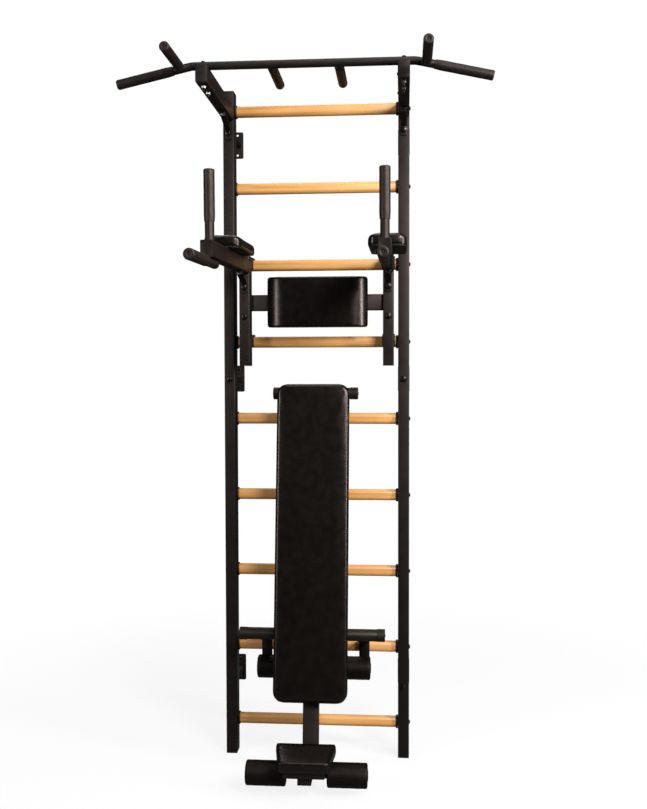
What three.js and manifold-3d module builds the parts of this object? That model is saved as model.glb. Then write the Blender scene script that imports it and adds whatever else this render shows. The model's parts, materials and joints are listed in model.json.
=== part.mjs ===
// Wall-mounted training ladder with a pull-up bar, a dip station and a hanging bench.
// Millimetres, +X to the right, +Y into the wall, +Z up.
// The origin is on the floor, half-way between the posts, on the surface of the wall.

import * as THREE from "three";
import { mergeVertices } from "three/addons/utils/BufferGeometryUtils.js";
import Module from "manifold-3d";

const wasm = await Module();
wasm.setup();

// ---- driving dimensions ----

const gap = 0.3; // clearance kept between pieces that touch

const ladder = {
  width: 670,
  height: 2415,
  postWidth: 40,
  postDepth: 58,
  wallGap: 145, // from the back of a post to the wall
};

const tubeWall = 3;
const tubeCorner = 4;

const cap = {
  thickness: 4,
  plugDepth: 18,
  inset: 1, // how much smaller than the tube
};

const rung = {
  count: 9,
  topZ: 2345,
  pitch: 277.5,
  height: 40,
  depth: 30,
  roundness: 13,
};

const wallPlate = {
  width: 44,
  height: 100,
  thickness: 4,
  cornerRadius: 6,
  screwHole: 9,
  screwSpacing: 75,
  stemWidth: 30,
  stemHeight: 18,
  stemWall: 3,
  heights: [2264, 1378, 262],
};

const pullUp = {
  armWidth: 38,
  armHeight: 55,
  armTopZ: 2364,
  armFrontY: -510,
  barY: -475,
  barRise: 5, // from the top of the arm to the middle of the bar
  barDiameter: 26,
  bendX: 352, // where the wings leave the straight stretch
  bendRadius: 90,
  wingEndX: 585,
  wingAngle: 12.5,
  gripDiameter: 31,
  wingGripLength: 186,
  forwardX: 386,
  forwardLength: 228,
  innerX: 106,
  innerOffsetX: 6,
  innerLength: 232,
  stubDiameter: 22, // the tubes inside the straight grips
  stubBase: 10, // a welded stub starts this far from the bar's middle line
  sleeveBase: 16, // and its grip starts this far
  saddleLength: 80,
  plateThickness: 3,
  holeDiameter: 9,
  holeY: [-372, -168],
  holeRise: 8,
};

const strut = {
  width: 22,
  thickness: 5,
  flange: 30,
  reach: 104, // along the arm
  drop: 36, // down the post
};

const dip = {
  offsetX: 5, // it hangs a little off the middle of the rungs
  hookRungs: [2, 3], // rungs counted from 0 at the top
  uprightX: 256,
  uprightWidth: 38,
  uprightFrontY: -85,
  uprightDepth: 58,
  uprightBottomZ: 1426,
  uprightTopZ: 1818,
  armHeight: 50,
  armTopZ: 1806,
  armFrontY: -762,
  armDroop: 1.5,
  handleY: -714,
  handleDiameter: 28,
  handleTopZ: 2015, // before the arm's droop
  handleGripLength: 152,
  lowerGripRearY: -640,
  lowerGripTipY: -1004,
  lowerGripLength: 232,
  weldDepth: 2,
  gripDiameter: 33,
  hookSideways: 4, // a hook plate is this much wider than the upright on each side
  strutDown: 4, // room under the arm for its droop
};

const grip = {
  edge: 5,
  cover: 6, // thickness of the closed end
  lip: 2,
};

const elbowPad = {
  width: 122,
  length: 320,
  thickness: 41,
  frontY: -515,
  cornerRadius: 30,
  offsetX: 3,
};

const backrest = {
  width: 358,
  height: 179,
  thickness: 48,
  cornerRadius: 9,
  offsetX: 5,
  middleZ: 1651,
  tubeHeight: 57,
  tubeDepth: 28,
};

const bench = {
  offsetX: -5,
  lean: 8.5, // degrees from upright, the lower end further out
  topY: -105, // top edge of the pad's front face
  topZ: 1365,
  padWidth: 260,
  padLength: 1106,
  padThickness: 48,
  padCornerRadius: 38,
  beamWidth: 62,
  beamDepth: 50,
  beamStart: 6,
  beamEnd: 1088,
  postWidth: 54, // the seat's post, which slides in the beam
  postDepth: 42,
  postStart: 968,
  barDiameter: 42,
  footBarDown: 22,
  footBarLength: 306,
  hookBarDown: 879,
  hookBarLength: 508,
  hookX: 178,
  hookWidth: 38,
  hookRung: 7,
  topHookRung: 4,
};

const hook = {
  thickness: 6.5,
  clearance: 2.5,
  backDrop: 30,
  frontDrop: 44,
  clipDrop: 62, // the front of a bench clip
};

const seat = {
  backY: -380, // top rear edge
  backZ: 184,
  slope: 15, // down towards the front
  length: 114,
  thickness: 44,
  backWidth: 204,
  frontWidth: 164,
  cornerRadius: 14,
  boardWidth: 134,
  boardLength: 96,
  boardThickness: 5,
  boardLip: 20,
  wedgeWidth: 36,
  tubeWidth: 45,
  tubeHeight: 40,
  tubeTopZ: 108,
  tubeTipY: -452,
  tubeRearY: -222,
};

const roller = {
  diameter: 82,
  length: 133,
  outerX: 202,
  bore: 27,
  edge: 6,
  shaftDiameter: 25,
  ankleY: -85,
  ankleZ: 345,
  kneeY: -370,
  kneeZ: 73,
};

const knob = {
  down: 1050,
  diameter: 46,
  length: 22,
  neckDiameter: 14,
  neckLength: 12,
  screwDiameter: 10,
  lobes: 6,
};

// ---- derived places ----

const postX = (ladder.width - ladder.postWidth) / 2;
const postFrontY = -ladder.postDepth / 2;
const standOff = ladder.postDepth / 2 + ladder.wallGap;
const rungLength = ladder.width - 2 * ladder.postWidth - 2 * gap;
const rungZ = (index) => rung.topZ - index * rung.pitch;
const degrees = Math.PI / 180;

// ---- finishes ----

const finishes = {
  steel: { color: 0x2b2827, roughness: 0.5, metalness: 0.4 },
  beech: { color: 0xe0a868, roughness: 0.5, metalness: 0.0 },
  vinyl: { color: 0x1c1a1a, roughness: 0.4, metalness: 0.0 },
  foam: { color: 0x262424, roughness: 0.85, metalness: 0.0 },
  plastic: { color: 0x1d1c1c, roughness: 0.6, metalness: 0.0 },
};

function material(finish) {
  return new THREE.MeshStandardMaterial(finishes[finish]);
}

// ---- geometry helpers ----

function solid(geometry) {
  const bare = geometry.clone();
  bare.deleteAttribute("normal");
  bare.deleteAttribute("uv");
  const merged = mergeVertices(bare, 1e-4);
  return new wasm.Manifold(new wasm.Mesh({
    numProp: 3,
    vertProperties: new Float32Array(merged.attributes.position.array),
    triVerts: new Uint32Array(merged.index.array),
  }));
}

function geometryOf(manifold) {
  const mesh = manifold.getMesh();
  const geometry = new THREE.BufferGeometry();
  geometry.setAttribute("position", new THREE.BufferAttribute(new Float32Array(mesh.vertProperties), 3));
  geometry.setIndex(new THREE.BufferAttribute(new Uint32Array(mesh.triVerts), 1));
  return geometry;
}

function join(first, ...others) {
  return geometryOf(others.reduce((sum, other) => sum.add(solid(other)), solid(first)));
}

function cut(first, ...others) {
  return geometryOf(others.reduce((rest, other) => rest.subtract(solid(other)), solid(first)));
}

function box(width, depth, height, x = 0, y = 0, z = 0) {
  return new THREE.BoxGeometry(width, depth, height).translate(x, y, z);
}

// A rectangle with rounded corners, centred on the origin of its plane.
function roundedRectangle(width, height, radius) {
  const right = width / 2;
  const top = height / 2;
  const shape = new THREE.Shape();
  shape.moveTo(right - radius, -top);
  shape.absarc(right - radius, radius - top, radius, -Math.PI / 2, 0);
  shape.absarc(right - radius, top - radius, radius, 0, Math.PI / 2);
  shape.absarc(radius - right, top - radius, radius, Math.PI / 2, Math.PI);
  shape.absarc(radius - right, radius - top, radius, Math.PI, 1.5 * Math.PI);
  return shape;
}

function tubeSection(width, height, wall = tubeWall) {
  const shape = roundedRectangle(width, height, tubeCorner);
  const innerRadius = Math.max(tubeCorner - wall, 0.5);
  shape.holes.push(roundedRectangle(width - 2 * wall, height - 2 * wall, innerRadius));
  return shape;
}

function polygon(points) {
  return new THREE.Shape(points.map(([u, v]) => new THREE.Vector2(u, v)));
}

// An extrusion centred on the origin. The section's two axes and the direction of
// the length are given by the name of the axis that the length follows.
function extrude(shape, length, axis, segments = 3) {
  const geometry = new THREE.ExtrudeGeometry(shape, {
    depth: length,
    bevelEnabled: false,
    curveSegments: segments,
    steps: 1,
  });
  geometry.translate(0, 0, -length / 2);
  const unit = {
    x: new THREE.Vector3(1, 0, 0),
    y: new THREE.Vector3(0, 1, 0),
    z: new THREE.Vector3(0, 0, 1),
  };
  const turn = new THREE.Matrix4();
  if (axis === "x") turn.makeBasis(unit.y, unit.z, unit.x);
  if (axis === "y") turn.makeBasis(unit.x, unit.z, unit.y.clone().negate());
  return geometry.applyMatrix4(turn);
}

function rod(diameter, length, axis, segments = 20) {
  const geometry = new THREE.CylinderGeometry(diameter / 2, diameter / 2, length, segments);
  if (axis === "x") geometry.rotateZ(Math.PI / 2);
  if (axis === "z") geometry.rotateX(Math.PI / 2);
  return geometry;
}

// How far along the two sides of a corner its one extra point lies.
const roundness = 0.3;

// A foam sleeve closed at its far end, with its open end at the origin, along +Y.
function gripSleeve(diameter, bore, length) {
  const radius = diameter / 2;
  const { edge, cover, lip } = grip;
  const profile = [
    [0, length - cover],
    [bore / 2, length - cover],
    [bore / 2, 0],
    [radius - lip, 0],
    [radius, lip],
    [radius, length - edge],
    [radius - roundness * edge, length - roundness * edge],
    [radius - edge, length],
    [0, length],
  ];
  return new THREE.LatheGeometry(profile.map(([x, y]) => new THREE.Vector2(x, y)), 20);
}

// A foam roller with an open bore, centred on the origin, along X.
function rollerSleeve() {
  const radius = roller.diameter / 2;
  const half = roller.length / 2;
  const { bore, edge } = roller;
  const profile = [
    [bore / 2, -half],
    [radius - edge, -half],
    [radius - roundness * edge, roundness * edge - half],
    [radius, edge - half],
    [radius, half - edge],
    [radius - roundness * edge, half - roundness * edge],
    [radius - edge, half],
    [bore / 2, half],
    [bore / 2, -half],
  ];
  const points = profile.map(([x, y]) => new THREE.Vector2(x, y));
  return new THREE.LatheGeometry(points, 24).rotateZ(-Math.PI / 2);
}

function addPart(group, name, geometry, finish) {
  const mesh = new THREE.Mesh(geometry, material(finish));
  mesh.name = name;
  group.add(mesh);
  return mesh;
}

// ---- ladder ----

// A plastic cap for the end of a post. The end of the tube is at the origin.
function postCap() {
  const width = ladder.postWidth - cap.inset;
  const depth = ladder.postDepth - cap.inset;
  const flange = box(width, depth, cap.thickness, 0, 0, gap + cap.thickness / 2);
  const overlap = cap.thickness / 2 + gap;
  const plugLength = cap.plugDepth + overlap;
  const plug = box(width - 2 * tubeWall, depth - 2 * tubeWall, plugLength, 0, 0, overlap - plugLength / 2);
  return join(flange, plug);
}

function makeLadder(group) {
  const capHeight = cap.thickness + gap;
  const tubeLength = ladder.height - 2 * capHeight;
  const section = tubeSection(ladder.postWidth, ladder.postDepth);
  for (const [side, sign] of [["left", -1], ["right", 1]]) {
    const post = addPart(group, `${side}_post`, extrude(section, tubeLength, "z", 2), "steel");
    post.position.set(sign * postX, 0, ladder.height / 2);
    const top = addPart(group, `${side}_top_cap`, postCap(), "plastic");
    top.position.set(sign * postX, 0, ladder.height - capHeight);
    const foot = addPart(group, `${side}_foot_cap`, postCap(), "plastic");
    foot.rotation.x = Math.PI;
    foot.position.set(sign * postX, 0, capHeight);
  }
}

function makeRungs(group) {
  const section = roundedRectangle(rung.depth, rung.height, rung.roundness);
  for (let index = 0; index < rung.count; index += 1) {
    const piece = addPart(group, `rung_${index + 1}`, extrude(section, rungLength, "x", 5), "beech");
    piece.position.z = rungZ(index);
  }
}

// The plate lies on the wall and a hollow stem reaches forward to the back of the post.
function wallBracket() {
  const { width, height, thickness, stemWidth, stemHeight, stemWall } = wallPlate;
  const section = roundedRectangle(width, height, wallPlate.cornerRadius);
  for (const sign of [-1, 1]) {
    const hole = new THREE.Path();
    hole.absarc(0, (sign * wallPlate.screwSpacing) / 2, wallPlate.screwHole / 2, 0, 2 * Math.PI);
    section.holes.push(hole);
  }
  const plate = extrude(section, thickness, "y", 3);
  plate.translate(0, standOff - thickness / 2, 0);
  const stemLength = ladder.wallGap - gap - thickness / 2;
  const stemY = ladder.postDepth / 2 + gap + stemLength / 2;
  const stem = extrude(tubeSection(stemWidth, stemHeight, stemWall), stemLength, "y", 2);
  return join(plate, stem.translate(0, stemY, 0));
}

function makeWallBrackets(group) {
  const levels = ["upper", "middle", "lower"];
  for (const [side, sign] of [["left", -1], ["right", 1]]) {
    levels.forEach((level, index) => {
      const bracket = addPart(group, `${side}_${level}_wall_bracket`, wallBracket(), "steel");
      bracket.position.set(sign * postX, 0, wallPlate.heights[index]);
    });
  }
}

// A flat bar bent at both ends: one flange lies under an arm, the other on the
// front of an upright. Its corner is at the origin, the arm towards -Y.
function bentStrut() {
  const { thickness, flange, reach, drop } = strut;
  const section = polygon([
    [-reach - flange, 0],
    [-reach - flange, -thickness],
    [-reach - 0.41 * thickness, -thickness],
    [-thickness, 0.41 * thickness - drop],
    [-thickness, -drop - flange],
    [0, -drop - flange],
    [0, 0.5 * thickness - drop],
    [0.5 * thickness - reach, 0],
  ]);
  return extrude(section, strut.width, "x");
}

// ---- pull-up unit ----

// One end of the bar's middle line, with a round bend and a straight wing.
function barPath() {
  const path = new THREE.CurvePath();
  const angle = pullUp.wingAngle * degrees;
  const tangent = pullUp.bendRadius * Math.tan(angle / 2);
  const wing = (x) => new THREE.Vector3(x, 0, -(Math.abs(x) - pullUp.bendX) * Math.tan(angle));
  const bendEnd = pullUp.bendX + tangent * Math.cos(angle);
  const flat = (x) => new THREE.Vector3(x, 0, 0);
  const reach = pullUp.bendX - tangent;
  path.add(new THREE.LineCurve3(wing(-pullUp.wingEndX), wing(-bendEnd)));
  path.add(new THREE.QuadraticBezierCurve3(wing(-bendEnd), flat(-pullUp.bendX), flat(-reach)));
  path.add(new THREE.LineCurve3(flat(-reach), flat(reach)));
  path.add(new THREE.QuadraticBezierCurve3(flat(reach), flat(pullUp.bendX), wing(bendEnd)));
  path.add(new THREE.LineCurve3(wing(bendEnd), wing(pullUp.wingEndX)));
  return path;
}

// The same middle line as a list of points, close together only in the bends.
function barPoints() {
  const points = [];
  for (const curve of barPath().curves) {
    const steps = curve.type === "LineCurve3" ? 1 : 4;
    for (let step = 0; step < steps; step += 1) points.push(curve.getPoint(step / steps));
  }
  points.push(barPath().getPoint(1));
  return points;
}

function roundSection(diameter, segments) {
  const shape = new THREE.Shape();
  for (let step = 0; step < segments; step += 1) {
    const angle = (2 * Math.PI * step) / segments;
    const x = (diameter / 2) * Math.cos(angle);
    const y = (diameter / 2) * Math.sin(angle);
    if (step === 0) shape.moveTo(x, y);
    else shape.lineTo(x, y);
  }
  return shape;
}

// A path whose even steps fall exactly on the listed points.
class PointPath extends THREE.Curve {
  constructor(points) {
    super();
    this.points = points;
  }

  getPoint(t) {
    const last = this.points.length - 1;
    const index = Math.min(Math.floor(t * last + 1e-9), last - 1);
    return this.points[index].clone().lerp(this.points[index + 1], t * last - index);
  }

  getPointAt(t) {
    return this.getPoint(t);
  }
}

function sweep(points, diameter, segments = 16) {
  return new THREE.ExtrudeGeometry(roundSection(diameter, segments), {
    extrudePath: new PointPath(points),
    steps: points.length - 1,
    bevelEnabled: false,
  });
}

const barZ = pullUp.armTopZ + pullUp.barRise;
const wingSlope = pullUp.wingAngle * degrees;
const forwardZ = barZ - (pullUp.forwardX - pullUp.bendX) * Math.tan(wingSlope);

function pullUpBar() {
  const bar = sweep(barPoints(), pullUp.barDiameter);
  const { stubDiameter, stubBase } = pullUp;
  const stubLength = (gripLength) => gripLength - stubBase - grip.cover - 2;
  const stubs = [];
  for (const sign of [-1, 1]) {
    const forward = rod(stubDiameter, stubLength(pullUp.forwardLength), "y", 14);
    const forwardY = -stubBase - stubLength(pullUp.forwardLength) / 2;
    stubs.push(forward.translate(sign * pullUp.forwardX, forwardY, forwardZ - barZ));
    const inner = rod(stubDiameter, stubLength(pullUp.innerLength), "y", 14);
    const innerY = stubBase + stubLength(pullUp.innerLength) / 2;
    stubs.push(inner.translate(sign * pullUp.innerX + pullUp.innerOffsetX, innerY, 0));
  }
  return join(bar, ...stubs);
}

// A plate that closes the end of a tube that runs along Y.
function endPlate(width, height, y) {
  return box(width - 2 * tubeWall, pullUp.plateThickness, height - 2 * tubeWall, 0, y, 0);
}

function pullUpArm(sign) {
  const rearY = postFrontY - gap;
  const length = rearY - pullUp.armFrontY;
  const section = tubeSection(pullUp.armWidth, pullUp.armHeight);
  const arm = extrude(section, length, "y", 2).translate(0, pullUp.armFrontY + length / 2, 0);
  const inside = pullUp.plateThickness / 2 + 0.5;
  const frontPlate = endPlate(pullUp.armWidth, pullUp.armHeight, pullUp.armFrontY + inside);
  const rearPlate = endPlate(pullUp.armWidth, pullUp.armHeight, rearY - inside);
  const saddle = rod(pullUp.barDiameter + 2 * gap, pullUp.saddleLength, "x", 20);
  saddle.translate(0, pullUp.barY, pullUp.armHeight / 2 + pullUp.barRise);
  const sideHoles = pullUp.holeY.map((y) => {
    const hole = rod(pullUp.holeDiameter, pullUp.armWidth, "x", 12);
    return hole.translate((-sign * pullUp.armWidth) / 2, y, pullUp.holeRise);
  });
  return cut(join(arm, frontPlate, rearPlate), saddle, ...sideHoles);
}

function makePullUp(group) {
  const bar = addPart(group, "pull_up_bar", pullUpBar(), "steel");
  bar.position.set(0, pullUp.barY, barZ);
  const armZ = pullUp.armTopZ - pullUp.armHeight / 2;
  const sleeveBore = pullUp.stubDiameter + 2 * gap;
  const sleeveStart = pullUp.sleeveBase;
  for (const [side, sign] of [["left", -1], ["right", 1]]) {
    const arm = addPart(group, `${side}_pull_up_arm`, pullUpArm(sign), "steel");
    arm.position.set(sign * postX, 0, armZ);
    const brace = addPart(group, `${side}_pull_up_strut`, bentStrut(), "steel");
    const underside = pullUp.armTopZ - pullUp.armHeight - gap;
    brace.position.set(sign * postX, postFrontY - gap, underside);

    const forwardSleeve = gripSleeve(pullUp.gripDiameter, sleeveBore, pullUp.forwardLength - sleeveStart);
    const forward = addPart(group, `${side}_forward_grip`, forwardSleeve, "foam");
    forward.rotation.z = Math.PI;
    forward.position.set(sign * pullUp.forwardX, pullUp.barY - sleeveStart, forwardZ);

    const innerSleeve = gripSleeve(pullUp.gripDiameter, sleeveBore, pullUp.innerLength - sleeveStart);
    const inner = addPart(group, `${side}_inner_grip`, innerSleeve, "foam");
    inner.position.set(sign * pullUp.innerX + pullUp.innerOffsetX, pullUp.barY + sleeveStart, barZ);

    const wingSleeve = gripSleeve(pullUp.gripDiameter, pullUp.barDiameter + 2 * gap, pullUp.wingGripLength);
    const wing = addPart(group, `${side}_wing_grip`, wingSleeve, "foam");
    const tipX = pullUp.wingEndX + grip.cover + 1;
    const startX = tipX - pullUp.wingGripLength * Math.cos(wingSlope);
    const startZ = barZ - (startX - pullUp.bendX) * Math.tan(wingSlope);
    wing.rotation.set(0, sign * wingSlope, -sign * (Math.PI / 2), "YXZ");
    wing.position.set(sign * startX, pullUp.barY, startZ);
  }
}

// ---- hooks that sit over a rung ----

// An upside-down U over a rung at the origin, an outline in the YZ plane. Its front
// leg is as thick as it takes to reach startY.
function hookOutline(startY, frontDrop = hook.frontDrop) {
  const inner = rung.depth / 2 + hook.clearance;
  const outer = inner + hook.thickness;
  const under = rung.height / 2 + gap;
  const top = under + hook.thickness;
  const front = Math.min(startY, -outer);
  return polygon([
    [front, top],
    [front, top - frontDrop],
    [-inner, top - frontDrop],
    [-inner, under],
    [inner, under],
    [inner, top - hook.backDrop],
    [outer, top - hook.backDrop],
    [outer, top],
  ]);
}

// ---- dip station ----

function dipUpright() {
  const { uprightWidth, uprightDepth, uprightFrontY, uprightBottomZ, uprightTopZ } = dip;
  const height = uprightTopZ - uprightBottomZ;
  const tube = extrude(tubeSection(uprightWidth, uprightDepth), height, "z", 2);
  const middleY = uprightFrontY + uprightDepth / 2;
  tube.translate(0, middleY, uprightBottomZ + height / 2);
  const lidInset = 2 * tubeWall - 1;
  const lid = box(uprightWidth - lidInset, uprightDepth - lidInset, tubeWall, 0, middleY, uprightTopZ - 2);
  const hookWidth = uprightWidth + 2 * dip.hookSideways;
  const hooks = dip.hookRungs.map((index) => {
    const plate = extrude(hookOutline(uprightFrontY + uprightDepth - 1), hookWidth, "x");
    return plate.translate(0, 0, rungZ(index));
  });
  return join(tube, lid, ...hooks);
}

// The lower rear edge of a drooping arm is what touches the upright.
const dipArmRearY = dip.uprightFrontY - gap - dip.armHeight * Math.sin(dip.armDroop * degrees);

// Under the arm, the middle of the tube that the lower grip is on.
const lowerTubeZ = -dip.armHeight - dip.handleDiameter / 2 + dip.weldDepth;

// The arm with its welded handle tubes, open at the rear. Its frame is the rear end
// of its top edge.
function dipArm() {
  const rearY = dipArmRearY;
  const length = rearY - dip.armFrontY;
  const tube = extrude(tubeSection(dip.uprightWidth, dip.armHeight), length, "y", 2);
  tube.translate(0, -length / 2, -dip.armHeight / 2);
  const front = endPlate(dip.uprightWidth, dip.armHeight, 2 - length).translate(0, 0, -dip.armHeight / 2);
  const rootDepth = 10; // the handle goes this far into the arm
  const handleTop = dip.handleTopZ - dip.armTopZ - grip.cover;
  const handle = rod(dip.handleDiameter, handleTop + rootDepth, "z", 18);
  handle.translate(0, dip.handleY - rearY, (handleTop - rootDepth) / 2);
  const lowerLength = dip.lowerGripRearY - dip.lowerGripTipY - grip.cover - 2;
  const lower = rod(dip.handleDiameter, lowerLength, "y", 18);
  lower.translate(0, dip.lowerGripRearY - rearY - lowerLength / 2, lowerTubeZ);
  return join(tube, front, handle, lower);
}

function makeDipStation(group) {
  const rearY = dipArmRearY;
  const bore = dip.handleDiameter + 2 * gap;
  for (const [side, sign] of [["left", -1], ["right", 1]]) {
    const x = sign * dip.uprightX;
    const upright = addPart(group, `${side}_dip_upright`, dipUpright(), "steel");
    upright.position.x = x;

    const armFrame = new THREE.Group();
    armFrame.position.set(x, rearY, dip.armTopZ);
    armFrame.rotation.x = dip.armDroop * degrees;
    group.add(armFrame);
    addPart(armFrame, `${side}_dip_arm`, dipArm(), "steel");

    const handleTop = dip.handleTopZ - dip.armTopZ;
    const upper = gripSleeve(dip.gripDiameter, bore, dip.handleGripLength).rotateX(Math.PI / 2);
    const handleGrip = addPart(armFrame, `${side}_handle_grip`, upper, "foam");
    handleGrip.position.set(0, dip.handleY - rearY, handleTop - dip.handleGripLength);

    const lower = gripSleeve(dip.gripDiameter, bore, dip.lowerGripLength).rotateZ(Math.PI);
    const lowerGrip = addPart(armFrame, `${side}_lower_grip`, lower, "foam");
    const lowerY = dip.lowerGripTipY - rearY + dip.lowerGripLength;
    lowerGrip.position.set(0, lowerY, lowerTubeZ);

    const padSection = roundedRectangle(elbowPad.width, elbowPad.length, elbowPad.cornerRadius);
    const padBlock = extrude(padSection, elbowPad.thickness, "z", 4);
    const pad = addPart(armFrame, `${side}_elbow_pad`, padBlock, "vinyl");
    const padY = elbowPad.frontY + elbowPad.length / 2 - rearY;
    pad.position.set(sign * elbowPad.offsetX, padY, gap + elbowPad.thickness / 2);

    const brace = addPart(group, `${side}_dip_strut`, bentStrut(), "steel");
    const underside = dip.armTopZ - dip.armHeight - dip.strutDown;
    brace.position.set(x, dip.uprightFrontY - gap, underside);
  }

  const clearWidth = 2 * dip.uprightX - dip.uprightWidth - 2 * gap;
  const tubeY = dip.uprightFrontY + dip.uprightDepth / 2;
  const tube = extrude(tubeSection(backrest.tubeDepth, backrest.tubeHeight), clearWidth, "x", 2);
  const crossTube = addPart(group, "backrest_cross_tube", tube, "steel");
  crossTube.position.set(0, tubeY, backrest.middleZ);

  const padSection = roundedRectangle(backrest.width, backrest.height, backrest.cornerRadius);
  const padBackY = tubeY - backrest.tubeDepth / 2 - gap;
  const pad = addPart(group, "backrest_pad", extrude(padSection, backrest.thickness, "y", 3), "vinyl");
  pad.position.set(backrest.offsetX, padBackY - backrest.thickness / 2, backrest.middleZ);
}

// ---- bench ----

// A place given in the ladder's frame, as a place in the bench's leaning frame.
function toBench(y, z) {
  const angle = bench.lean * degrees;
  const dy = y - bench.topY;
  const dz = z - bench.topZ;
  return {
    y: dy * Math.cos(angle) - dz * Math.sin(angle),
    z: dy * Math.sin(angle) + dz * Math.cos(angle),
  };
}

// Turns and moves a geometry made in the ladder's frame into the bench's frame.
function levelInBench(geometry) {
  geometry.translate(0, -bench.topY, -bench.topZ);
  return geometry.rotateX(bench.lean * degrees);
}

const beamMiddleY = bench.padThickness + gap + bench.beamDepth / 2;

function benchBeam() {
  const length = bench.beamEnd - bench.beamStart;
  const tube = extrude(tubeSection(bench.beamWidth, bench.beamDepth), length, "z", 2);
  tube.translate(0, beamMiddleY, -bench.beamStart - length / 2);
  const backY = beamMiddleY + bench.beamDepth / 2;
  const rungHeight = rungZ(bench.topHookRung);
  const beamBack = toBench(0, rungHeight);
  const startY = -Math.max(beamBack.y - backY, 0) - 2;
  const topHook = extrude(hookOutline(startY), bench.hookWidth, "x").translate(0, 0, rungHeight);
  const insideWidth = bench.beamWidth - 2 * tubeWall;
  const insideDepth = bench.beamDepth - 2 * tubeWall;
  const inside = box(insideWidth, insideDepth, length + 40, 0, beamMiddleY, -length / 2);
  const hookBarHole = rod(bench.barDiameter + 2 * gap, 2 * bench.beamWidth, "x", 24);
  hookBarHole.translate(0, beamMiddleY, -bench.hookBarDown);
  const screwHole = rod(knob.screwDiameter + 1, bench.beamWidth / 2, "x", 12);
  screwHole.translate(bench.beamWidth / 2, beamMiddleY, -knob.down);
  return cut(join(tube, levelInBench(topHook)), inside, hookBarHole, screwHole);
}

// The bar with one clip near each end. A clip is a leaning plate and a hook.
function hookBar() {
  const bar = rod(bench.barDiameter, bench.hookBarLength, "x", 22);
  bar.translate(0, beamMiddleY, -bench.hookBarDown);
  const angle = bench.lean * degrees;
  const barY = bench.topY + beamMiddleY * Math.cos(angle) - bench.hookBarDown * Math.sin(angle);
  const barHeight = bench.topZ - beamMiddleY * Math.sin(angle) - bench.hookBarDown * Math.cos(angle);
  const rungHeight = rungZ(bench.hookRung);
  const outer = rung.depth / 2 + hook.clearance + hook.thickness;
  const top = rung.height / 2 + gap + hook.thickness;
  const plate = polygon([
    [barY - 6, barHeight - rungHeight - 6],
    [-outer, top - 9],
    [-outer + 3, top],
    [barY + 6, barHeight - rungHeight + 8],
  ]);
  const clips = [-1, 1].map((sign) => {
    const claw = extrude(hookOutline(0, hook.clipDrop), bench.hookWidth, "x");
    const clip = join(claw, extrude(plate, bench.hookWidth, "x"));
    return levelInBench(clip.translate(sign * bench.hookX, 0, rungHeight));
  });
  return join(bar, ...clips);
}

// Turns and moves a geometry from the seat's own frame, whose origin is the middle of
// the pad's top rear edge, into the bench's frame.
function seatInBench(geometry) {
  geometry.rotateX(seat.slope * degrees);
  return levelInBench(geometry.translate(0, seat.backY, seat.backZ));
}

// The telescoping post, the level tube welded to its lower end, the seat board and
// the shaft of the knee rollers.
function seatCarriage() {
  const tubeBottomZ = seat.tubeTopZ - seat.tubeHeight;
  const length = -bench.postStart - toBench(seat.tubeRearY, tubeBottomZ).z;
  const post = box(bench.postWidth, bench.postDepth, length, 0, beamMiddleY, -bench.postStart - length / 2);
  const tubeLength = seat.tubeRearY - seat.tubeTipY;
  const tubeY = seat.tubeTipY + tubeLength / 2;
  const tube = box(seat.tubeWidth, tubeLength, seat.tubeHeight, 0, tubeY, tubeBottomZ + seat.tubeHeight / 2);
  const shaft = rod(roller.shaftDiameter, 2 * roller.outerX - 12, "x", 18);
  shaft.translate(0, roller.kneeY, roller.kneeZ);

  const { boardWidth, boardLength, boardThickness, boardLip } = seat;
  const boardY = -seat.length / 2;
  const boardTop = -seat.thickness - gap;
  const board = box(boardWidth, boardLength, boardThickness, 0, boardY, boardTop - boardThickness / 2);
  const lipY = boardY - boardLength / 2 + 2;
  const lip = box(boardWidth, 4, boardLip, 0, lipY, boardTop - boardLip / 2);

  const slope = Math.tan(seat.slope * degrees);
  const wedgeTop = (y) => seat.backZ - (seat.thickness + 2) + (y - seat.backY) * slope;
  const wedge = polygon([
    [seat.tubeTipY, seat.tubeTopZ - 3],
    [seat.backY - 20, seat.tubeTopZ - 3],
    [seat.backY - 20, wedgeTop(seat.backY - 20)],
    [seat.tubeTipY, wedgeTop(seat.tubeTipY)],
  ]);
  const level = [tube, shaft, extrude(wedge, seat.wedgeWidth, "x")].map(levelInBench);
  return join(post, ...level, seatInBench(board), seatInBench(lip));
}

function ankleBracket() {
  const beamBackY = beamMiddleY + bench.beamDepth / 2 + gap;
  const place = toBench(roller.ankleY, roller.ankleZ);
  const depth = place.y - beamBackY + 18;
  const arm = box(40, depth, 44, 0, beamBackY + depth / 2, place.z);
  const shaft = rod(roller.shaftDiameter, 2 * roller.outerX - 12, "x", 18).translate(0, place.y, place.z);
  return join(arm, shaft);
}

function seatPad() {
  const back = seat.backWidth / 2;
  const front = seat.frontWidth / 2;
  const radius = seat.cornerRadius;
  const outline = polygon([
    [front - radius, -seat.length],
    [front, radius - seat.length],
    [back, -radius],
    [back - radius, 0],
    [radius - back, 0],
    [-back, -radius],
    [-front, radius - seat.length],
    [radius - front, -seat.length],
  ]);
  return seatInBench(extrude(outline, seat.thickness, "z").translate(0, 0, -seat.thickness / 2));
}

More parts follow.
